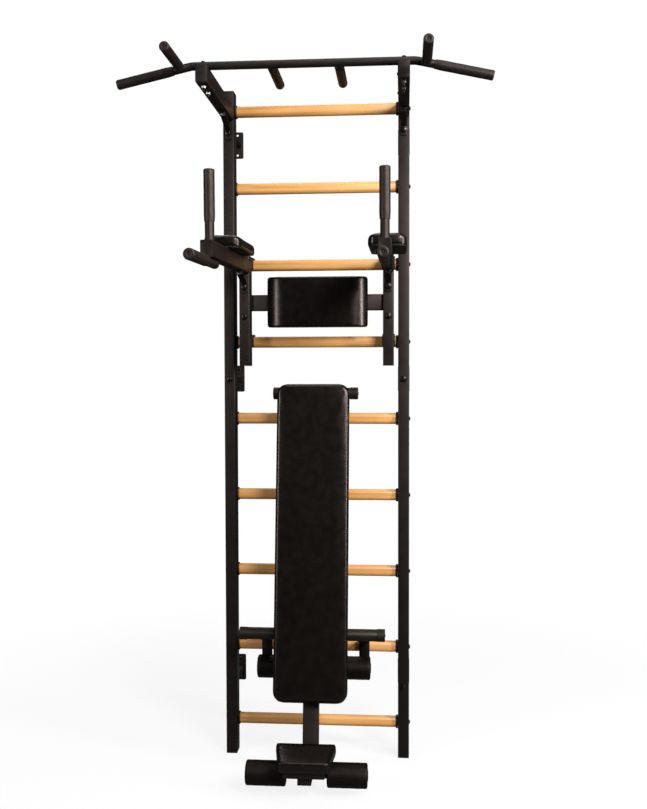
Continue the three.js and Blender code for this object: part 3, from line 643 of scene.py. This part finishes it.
def makePullUpUnit():
    refined("pull_up_bar", coat, 0.0006, 50)
    barLow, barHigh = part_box("pull_up_bar")
    for side, sign in sides:
        arm = f"{side}_pull_up_arm"
        refined(arm, coat, 0.0010)
        refined(f"{side}_pull_up_strut", coat, 0.0009)
        low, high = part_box(arm)
        middle = (low + high) / 2
        for count in range(2):
            place = (middle.x, low.y + pullUp["armBoltFront"] + count * pullUp["armBoltSpacing"], low.z)
            addBolt(f"{side}ArmNut{count + 1}", "nut", place, (0, 0, -1), "ladder", brightBolt)
        strutLow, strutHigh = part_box(f"{side}_pull_up_strut")
        foot = (middle.x, strutHigh.y - pullUp["strutBoltSunk"], strutLow.z + pullUp["strutBoltUp"])
        head = (middle.x, strutLow.y + pullUp["strutBoltIn"], strutHigh.z - pullUp["strutBoltSunk"])
        addBolt(f"{side}StrutFootBolt", "hex", foot, (0, -1, 0), "ladder")
        addBolt(f"{side}StrutHeadBolt", "hex", head, (0, 0, -1), "ladder")
        play = pullUp["plugPlay"]
        opening = roundedOutline(high.x - low.x - play, high.z - low.z - play, play)
        plug = slab(opening, pullUp["plugDepth"], 0.001, 2)
        place = towards((middle.x, low.y + pullUp["plugStandsOut"], middle.z), (0, -1, 0), "X")
        addPiece(f"{side}ArmPlug", meshOf(plug, f"{side}ArmPlug"), plastic, "ladder",
                 place @ Matrix.Rotation(math.pi / 2, 4, "Z"))
        # the bar's sleeves, each one pushed on from its tip
        wingLow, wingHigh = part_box(f"{side}_wing_grip")
        innerLow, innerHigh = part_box(f"{side}_inner_grip")
        forwardLow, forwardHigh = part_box(f"{side}_forward_grip")
        stubBore = pullUp["stubRadius"] + pullUp["sleevePlay"]
        addSleeve(f"{side}_wing_grip", (0, wingLow.y, wingHigh.z), pullUp["barRadius"] + pullUp["sleevePlay"])
        innerX, forwardX = (innerLow.x + innerHigh.x) / 2, (forwardLow.x + forwardHigh.x) / 2
        addSleeve(f"{side}_inner_grip", (innerX, barLow.y, innerLow.z), stubBore)
        addSleeve(f"{side}_forward_grip", (forwardX, barHigh.y, forwardLow.z), stubBore)
        for grip, reach in (("inner", 1), ("forward", -1)):
            gripLow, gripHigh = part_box(f"{side}_{grip}_grip")
            foot = gripLow.y if reach > 0 else gripHigh.y
            place = (gripLow + gripHigh) / 2
            place.y = foot - reach * pullUp["weldSetBack"]
            weldBead(f"{side}{grip.capitalize()}Weld", place, (0, reach, 0), pullUp["stubRadius"], "ladder",
                     pullUp["weld"])
        top = (middle.x, low.y + pullUp["barBoltBack"], barHigh.z - pullUp["barBoltSunk"])
        addBolt(f"{side}BarBolt", "domed", top, (0, 0, 1), "ladder")
        inside = low.x if sign > 0 else high.x
        for count, share in enumerate(pullUp["sideBolts"]):
            place = (inside, low.y + (high.y - low.y) * share, middle.z + pullUp["sideBoltRise"])
            addBolt(f"{side}ArmSideBolt{count + 1}", "small", place, (-sign, 0, 0), "ladder")


makePullUpUnit()
print("pull-up unit made")


# padded pieces

foamFirmness = 0.92
boardLap = 0.004


def voxelMesh(mesh, size):
    piece = bpy.data.objects.new("voxels", mesh)
    scene.collection.objects.link(piece)
    remesh = piece.modifiers.new("voxels", "REMESH")
    remesh.mode = "VOXEL"
    remesh.voxel_size = size
    bpy.context.view_layer.update()
    made = bpy.data.meshes.new_from_object(piece.evaluated_get(bpy.context.evaluated_depsgraph_get()))
    bpy.data.objects.remove(piece)
    return made


def pointsOf(mesh):
    points = np.empty(len(mesh.vertices) * 3, np.float32)
    mesh.vertices.foreach_get("co", points)
    return points.reshape(-1, 3).astype(float)


def inflate(mesh, pressure, cap, holdBelow):
    # cloth under pressure; what lies below holdBelow is stapled to its board
    piece = bpy.data.objects.new("inflating", mesh)
    scene.collection.objects.link(piece)
    rest = pointsOf(mesh)
    normals = np.array([v.normal for v in mesh.vertices])
    held = piece.vertex_groups.new(name="held")
    held.add([int(i) for i in np.flatnonzero(rest[:, 2] < holdBelow)], 1.0, "REPLACE")
    cloth = piece.modifiers.new("cloth", "CLOTH")
    cloth.settings.use_pressure = True
    cloth.settings.uniform_pressure_force = pressure
    cloth.settings.effector_weights.gravity = 0
    cloth.settings.vertex_group_mass = "held"
    cloth.settings.quality = 4
    cloth.collision_settings.use_collision = False
    for number in range(1, 21):
        scene.frame_set(number)
    swollen = bpy.data.meshes.new_from_object(piece.evaluated_get(bpy.context.evaluated_depsgraph_get()))
    scene.frame_set(1)
    moved = pointsOf(swollen) - rest
    outward = (moved * normals).sum(1, keepdims=True)
    # the foam inside is firm, so the cover hardly sinks in
    moved -= normals * np.minimum(outward, 0) * foamFirmness
    # and nowhere does it move further than the cap
    length = np.linalg.norm(moved, axis=1, keepdims=True)
    moved *= cap * np.tanh(length / cap) / np.maximum(length, 1e-9)
    swollen.vertices.foreach_set("co", (rest + moved).ravel())
    bpy.data.objects.remove(piece)
    return swollen


def subdivided(mesh):
    piece = bpy.data.objects.new("smoothing", mesh)
    scene.collection.objects.link(piece)
    smooth = piece.modifiers.new("smooth", "SMOOTH")
    smooth.factor = 0.5
    smooth.iterations = 5
    piece.modifiers.new("finer", "SUBSURF").levels = 1
    bpy.context.view_layer.update()
    made = bpy.data.meshes.new_from_object(piece.evaluated_get(bpy.context.evaluated_depsgraph_get()))
    bpy.data.objects.remove(piece)
    return made


def crown(mesh, size, pad):
    # the block's face falls away in a quarter ellipse towards its ends
    points = pointsOf(mesh)
    top = points[:, 2].max()
    fall = np.zeros(len(points))
    for axis in range(2):
        reach, drop = pad["crown"][axis]
        if reach:
            beyond = np.clip((np.abs(points[:, axis]) - (size[axis] / 2 - reach)) / reach, 0, 1)
            fall += drop * (1 - np.sqrt(1 - beyond ** 2))
    points[:, 2] *= 1 - np.minimum(fall / top, 0.85)
    mesh.vertices.foreach_set("co", points.ravel())
    mesh.update()


def addPad(node, toward, pad, outline=None):
    place, size = padFrame(node, toward)[:2]
    width, length, depth = size
    board, swell = pad["board"], pad["swell"]
    shape = outline or roundedOutline(width - 2 * swell, length - 2 * swell, pad["corner"], 10)
    foam = slab(shape, depth - board - swell, pad["edge"], 6, bothSides=False)
    soft = voxelMesh(meshOf(foam, camelCase(node)), pad["voxel"])
    crown(soft, size, pad)
    soft.transform(Matrix.Translation((0, 0, board)))
    soft = inflate(soft, pad["pressure"], pad["cap"], board + pad["voxel"] * 0.8)
    soft = subdivided(soft)
    creasePad(soft, shape, board, depth, pad)
    soft.polygons.foreach_set("use_smooth", [True] * len(soft.polygons))
    cushion = addPiece(camelCase(node), soft, vinyl, bodyOf[node], place, (node,))
    inset = pad["boardInset"]
    backing = [(x * (1 - 2 * inset / width), y * (1 - 2 * inset / length)) for x, y in shape]
    boardMesh = meshOf(slab(backing, board + boardLap, 0.0012, 2), camelCase(node) + "Board")
    addPiece(camelCase(node) + "Board", boardMesh, plastic, bodyOf[node], place)
    return cushion


def creasePad(mesh, outline, board, depth, pad):
    # gathers where the cover is pulled round the corners, and a slow waviness of the foam
    points = pointsOf(mesh)
    reach = np.abs(np.array(outline)).max(0)
    corner = np.minimum(np.abs(points[:, 0]) / reach[0], 1) * np.minimum(np.abs(points[:, 1]) / reach[1], 1)
    near = np.clip((corner - 0.80) / 0.2, 0, 1)
    low = np.clip(1 - (points[:, 2] - board) / (depth * 0.7), 0, 1)
    angle = np.arctan2(points[:, 1] / reach[1], points[:, 0] / reach[0])
    fold = np.sin(angle * pad["gathers"]) * near * low * pad["gatherDepth"]
    outward = points[:, :2] / np.maximum(np.linalg.norm(points[:, :2], axis=1, keepdims=True), 1e-6)
    points[:, :2] += outward * fold[:, None]
    face = np.clip((points[:, 2] - depth * 0.6) / (depth * 0.3), 0, 1)
    wave = [noise.noise(Vector(p) * pad["waveScale"]) for p in points]
    points[:, 2] += face * np.array(wave) * pad["waveDepth"]
    mesh.vertices.foreach_set("co", points.ravel())
    mesh.update()


backrestPad = {
    "voxel": 0.0040, "pressure": 3, "cap": 0.0006, "swell": 0.0006, "board": 0.007, "boardInset": 0.006,
    "corner": 0.008, "edge": 0.005, "crown": ((0.066, 0.044), (0, 0)), "fill": 0.8,
    "gathers": 90, "gatherDepth": 0.0003, "waveScale": 14, "waveDepth": 0.0002,
}
elbowPad = {
    "voxel": 0.0040, "pressure": 3, "cap": 0.0015, "swell": 0.0008, "board": 0.003, "boardInset": 0.002,
    "corner": 0.024, "edge": 0.008, "crown": ((0.036, 0.014), (0.030, 0.004)), "fill": 0.75,
    "gathers": 60, "gatherDepth": 0.0004, "waveScale": 16, "waveDepth": 0.0006,
}
benchPad = {
    "voxel": 0.0060, "pressure": 3, "cap": 0.0015, "swell": 0.0008, "board": 0.010, "boardInset": 0.008,
    "corner": 0.037, "edge": 0.010, "crown": ((0.030, 0.005), (0.030, 0.003)), "fill": 0.8,
    "gathers": 160, "gatherDepth": 0.0004, "waveScale": 9, "waveDepth": 0.0006,
}
seatPad = {
    "voxel": 0.0040, "pressure": 3, "cap": 0.0012, "swell": 0.0006, "board": 0.006, "boardInset": 0.008,
    "corner": 0.012, "edge": 0.005, "crown": ((0.020, 0.002), (0.020, 0.002)), "fill": 0.8,
    "gathers": 70, "gatherDepth": 0.0003, "waveScale": 18, "waveDepth": 0.0004,
}


def seatOutline():
    # wide at the back and narrow at the front, with round corners
    size, points = padFrame("seat_pad", (0, -0.25, 1))[1:]
    shrink, radius = seatPad["swell"], seatPad["corner"]
    front = np.abs(points[points[:, 1] < points[:, 1].min() + radius * 1.2][:, 0]).max() - shrink
    back, half = size[0] / 2 - shrink, size[1] / 2 - shrink
    corners = [Vector((front, -half)), Vector((back, half)), Vector((-back, half)), Vector((-front, -half))]
    outline = []
    for index, corner in enumerate(corners):
        before = (corners[index - 1] - corner).normalized()
        after = (corners[(index + 1) % 4] - corner).normalized()
        for step in range(7):
            share = step / 6
            point = corner + before * radius * (1 - share) ** 2 + after * radius * share ** 2
            outline.append((point.x, point.y))
    return outline


# dip station

dip = {
    "tubeRadius": 0.0140,
    "boltBelowTube": 0.021,
    "sleevePlay": 0.0003,
    "strutBoltUp": 0.020,
    "strutBoltIn": 0.015,
    "strutBoltSunk": 0.005,
}


def makeDipStation():
    for side in ("left", "right"):
        refined(f"{side}_dip_upright", coat, 0.0010)
        refined(f"{side}_dip_arm", coat, 0.0008, 50)
        refined(f"{side}_dip_strut", coat, 0.0009)
        armLow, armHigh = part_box(f"{side}_dip_arm")
        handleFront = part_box(f"{side}_handle_grip")[0].y
        bore = dip["tubeRadius"] + dip["sleevePlay"]
        addSleeve(f"{side}_handle_grip", (armLow.x, handleFront, armLow.z), bore)
        addSleeve(f"{side}_lower_grip", (armLow.x, armHigh.y, armLow.z), bore)
        middleX = (armLow.x + armHigh.x) / 2
        strutLow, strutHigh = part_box(f"{side}_dip_strut")
        foot = (middleX, strutHigh.y - dip["strutBoltSunk"], strutLow.z + dip["strutBoltUp"])
        head = (middleX, strutLow.y + dip["strutBoltIn"], strutHigh.z - dip["strutBoltSunk"])
        addBolt(f"{side}DipStrutFootBolt", "hex", foot, (0, -1, 0), "dip_station")
        addBolt(f"{side}DipStrutHeadBolt", "hex", head, (0, 0, -1), "dip_station")
        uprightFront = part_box(f"{side}_dip_upright")[0].y
        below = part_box("backrest_cross_tube")[0].z - dip["boltBelowTube"]
        addBolt(f"{side}UprightBolt", "hex", (middleX, uprightFront, below), (0, -1, 0), "dip_station")
        addPad(f"{side}_elbow_pad", (0, 0, 1), elbowPad)
    refined("backrest_cross_tube", coat, 0.0008)
    addPad("backrest_pad", (0, -1, 0), backrestPad)


makeDipStation()
print("dip station made")


# bench

seatSlide = next(joint for joint in frame["joints"] if joint["name"] == "seat_slide")
upBench = Vector(seatSlide["axis"]).normalized()
behindBench = Vector((0, upBench.z, -upBench.y))

bench = {
    "barRadius": 0.021,
    "capRim": 0.0012,
    "capLength": 0.026,
    "rollerRim": 0.006,
    "rollerLip": 0.0012,
    "rollerBore": 0.0135,
    "shaftRadius": 0.0127,
    "shaftCapRadius": 0.0175,
    "shaftCapSunk": 0.0004,
}


def barCap(name, place, direction, body):
    # a ribbed end cap pushed over a round bar
    radius, length = bench["barRadius"] + bench["capRim"], bench["capLength"]
    profile = [(-length, 0), (-length, radius - 0.001), (-length + 0.001, radius)]
    for rib in range(4):
        height = -length + 0.004 + rib * 0.005
        profile += [(height, radius), (height + 0.0008, radius - 0.0007), (height + 0.0018, radius - 0.0007),
                    (height + 0.0026, radius)]
    profile += arc(-0.0012, radius - 0.003, 0.003, 0, 90, 5)
    profile += [(0.0018, radius * 0.55), (0.0008, radius * 0.5), (0.0008, 0)]
    mesh = meshOf(lathe(profile, 48), name, 40)
    addBolt(f"{name}Bolt", "small", Vector(place) + Vector(direction) * 0.0006, direction, body)
    return addPiece(name, mesh, plastic, body, towards(place, direction))


def rollerProfile(length, radius, bore):
    rim, lip = bench["rollerRim"], bench["rollerLip"]
    profile = [(lip, bore), (0.0, bore + lip), (0.0, radius - rim)]
    profile += arc(rim, radius - rim, rim, -90, 0, 6)[1:]
    for step in range(1, 14):
        height = rim + (length - 2 * rim) * step / 14
        swell = 0.00012 * math.sin(step * 1.3 + 0.4) + 0.00008 * math.sin(step * 2.9)
        profile.append((height, radius + swell - 0.0002))
    profile += arc(length - rim, radius - rim, rim, 0, 90, 6)
    profile += [(length, bore + lip), (length - lip, bore)]
    return profile


def shaftCap():
    shaft, cap = bench["shaftRadius"], bench["shaftCapRadius"]
    profile = [(-0.006, 0), (-0.006, shaft), (0.0, shaft), (0.0, cap)]
    profile += arc(0.0012, cap - 0.0012, 0.0012, 0, 90, 3)
    profile += [(0.0024, 0.009), (0.0016, 0.0075), (0.0016, 0)]
    return lathe(profile, 40)


def tubeEnd(node, sign):
    # the middle of the round face at a node's left or right end
    low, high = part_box(node)
    endX = low.x if sign < 0 else high.x
    ring = [v.co for v in frame["nodes"][node].data.vertices if abs(v.co.x - endX) < 1e-4]
    return sum(ring, Vector()) / len(ring)


def makeBench():
    for node in ("bench_beam", "foot_bar", "hook_bar", "ankle_roller_bracket", "seat_carriage"):
        refined(node, coat, 0.0008, 50)
    refined("clamp_knob", plastic, 0.0012, 50)
    addPad("bench_pad", -behindBench, benchPad)
    addPad("seat_pad", (0, -0.25, 1), seatPad, seatOutline())
    footEnds = spanOf("foot_bar", (-1, 0, 1))
    for index, (side, sign) in enumerate(sides):
        barCap(f"{side}FootBarCap", footEnds[index], (sign, 0, 0), "bench")
    for side, sign in sides:
        barCap(f"{side}HookBarCap", tubeEnd("hook_bar", sign), (sign, 0, 0), "bench")
    for kind, body in (("ankle", "bench"), ("knee", "seat_carriage")):
        for side, sign in sides:
            node = f"{side}_{kind}_roller"
            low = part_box(node)[0]
            start, end, radius = spanOf(node, (0, low.y, low.z))
            roller = lathe(rollerProfile((end - start).length, radius, bench["rollerBore"]), 72, looped=True)
            addPiece(camelCase(node), meshOf(roller, camelCase(node), 50), rollerFoam, bodyOf[node],
                     towards(start, end - start), (node,))
            place = end - Vector((sign * bench["shaftCapSunk"], 0, 0))
            addPiece(f"{side}{kind.capitalize()}ShaftCap", meshOf(shaftCap(), "shaftCap"), plastic, body,
                     towards(place, (sign, 0, 0)))


makeBench()
print("bench made")


# stage and light

studio = {
    "floorSize": 60,
    "fadeFrom": 0.7,
    "fadeTo": 2.4,
    "clear": 0.85,
}


def makeFloor():
    bm = bmesh.new()
    bmesh.ops.create_grid(bm, x_segments=2, y_segments=2, size=studio["floorSize"] / 2)
    floor = bpy.data.objects.new("floor", meshOf(bm, "floor"))
    scene.collection.objects.link(floor)
    material = bpy.data.materials.new("paleFloor")
    material.use_nodes = True
    tree = material.node_tree
    shader = tree.nodes["Principled BSDF"]
    shader.inputs["Base Color"].default_value = (0.93, 0.93, 0.93, 1)
    shader.inputs["Roughness"].default_value = 0.7
    coords = addNode(tree, "ShaderNodeTexCoord")
    distance = addNode(tree, "ShaderNodeVectorMath", operation="LENGTH")
    joinNodes(tree, coords, "Object", distance, 0)
    reach = {"From Min": studio["fadeFrom"], "From Max": studio["fadeTo"], "To Min": studio["clear"]}
    fade = addNode(tree, "ShaderNodeMapRange", reach, interpolation_type="SMOOTHSTEP")
    joinNodes(tree, distance, "Value", fade, "Value")
    clear = addNode(tree, "ShaderNodeBsdfTransparent")
    mix = addNode(tree, "ShaderNodeMixShader")
    joinNodes(tree, fade, "Result", mix, 0)
    tree.links.new(shader.outputs[0], mix.inputs[1])
    tree.links.new(clear.outputs[0], mix.inputs[2])
    tree.links.new(mix.outputs[0], tree.nodes["Material Output"].inputs[0])
    floor.data.materials.append(material)


lamps = {
    "keyRight": {"place": (3.6, -2.0, 2.2), "aim": (0, -0.5, 1.5), "size": (0.6, 2.6), "power": 140},
    "stripLeft": {"place": (-3.1, -3.2, 2.0), "aim": (0, -0.5, 1.5), "size": (0.5, 2.4), "power": 60},
    "front": {"place": (2.5, -4.1, 3.5), "aim": (0, -0.5, 1.6), "size": (1.4, 1.2), "power": 250},
    "overhead": {"place": (0.2, -1.4, 4.8), "aim": (0, -0.5, 0.8), "size": (2.2, 1.8), "power": 40},
    "behind": {"place": (-0.6, 2.4, 5.2), "aim": (0, 0, 1.2), "size": (2.4, 1.6), "power": 50},
}


def makeLight():
    for name, lamp in lamps.items():
        light = bpy.data.lights.new(name, "AREA")
        light.shape = "RECTANGLE"
        light.size, light.size_y = lamp["size"]
        light.energy = lamp["power"]
        holder = bpy.data.objects.new(name, light)
        aim = Vector(lamp["aim"]) - Vector(lamp["place"])
        turn = aim.to_track_quat("-Z", "Y").to_matrix().to_4x4()
        holder.matrix_world = Matrix.Translation(lamp["place"]) @ turn
        scene.collection.objects.link(holder)
    world = bpy.data.worlds.new("studio")
    scene.world = world
    world.use_nodes = True
    tree = world.node_tree
    tree.nodes.clear()
    seen = addNode(tree, "ShaderNodeBackground", {"Color": (1, 1, 1, 1), "Strength": 1.0})
    lit = addNode(tree, "ShaderNodeBackground", {"Color": (1, 0.99, 0.98, 1), "Strength": 0.035})
    path = addNode(tree, "ShaderNodeLightPath")
    mix = addNode(tree, "ShaderNodeMixShader")
    out = addNode(tree, "ShaderNodeOutputWorld")
    joinNodes(tree, path, "Is Camera Ray", mix, 0)
    tree.links.new(lit.outputs[0], mix.inputs[1])
    tree.links.new(seen.outputs[0], mix.inputs[2])
    tree.links.new(mix.outputs[0], out.inputs[0])
    scene.view_settings.view_transform = "Standard"


makeFloor()
makeLight()
print("studio made")
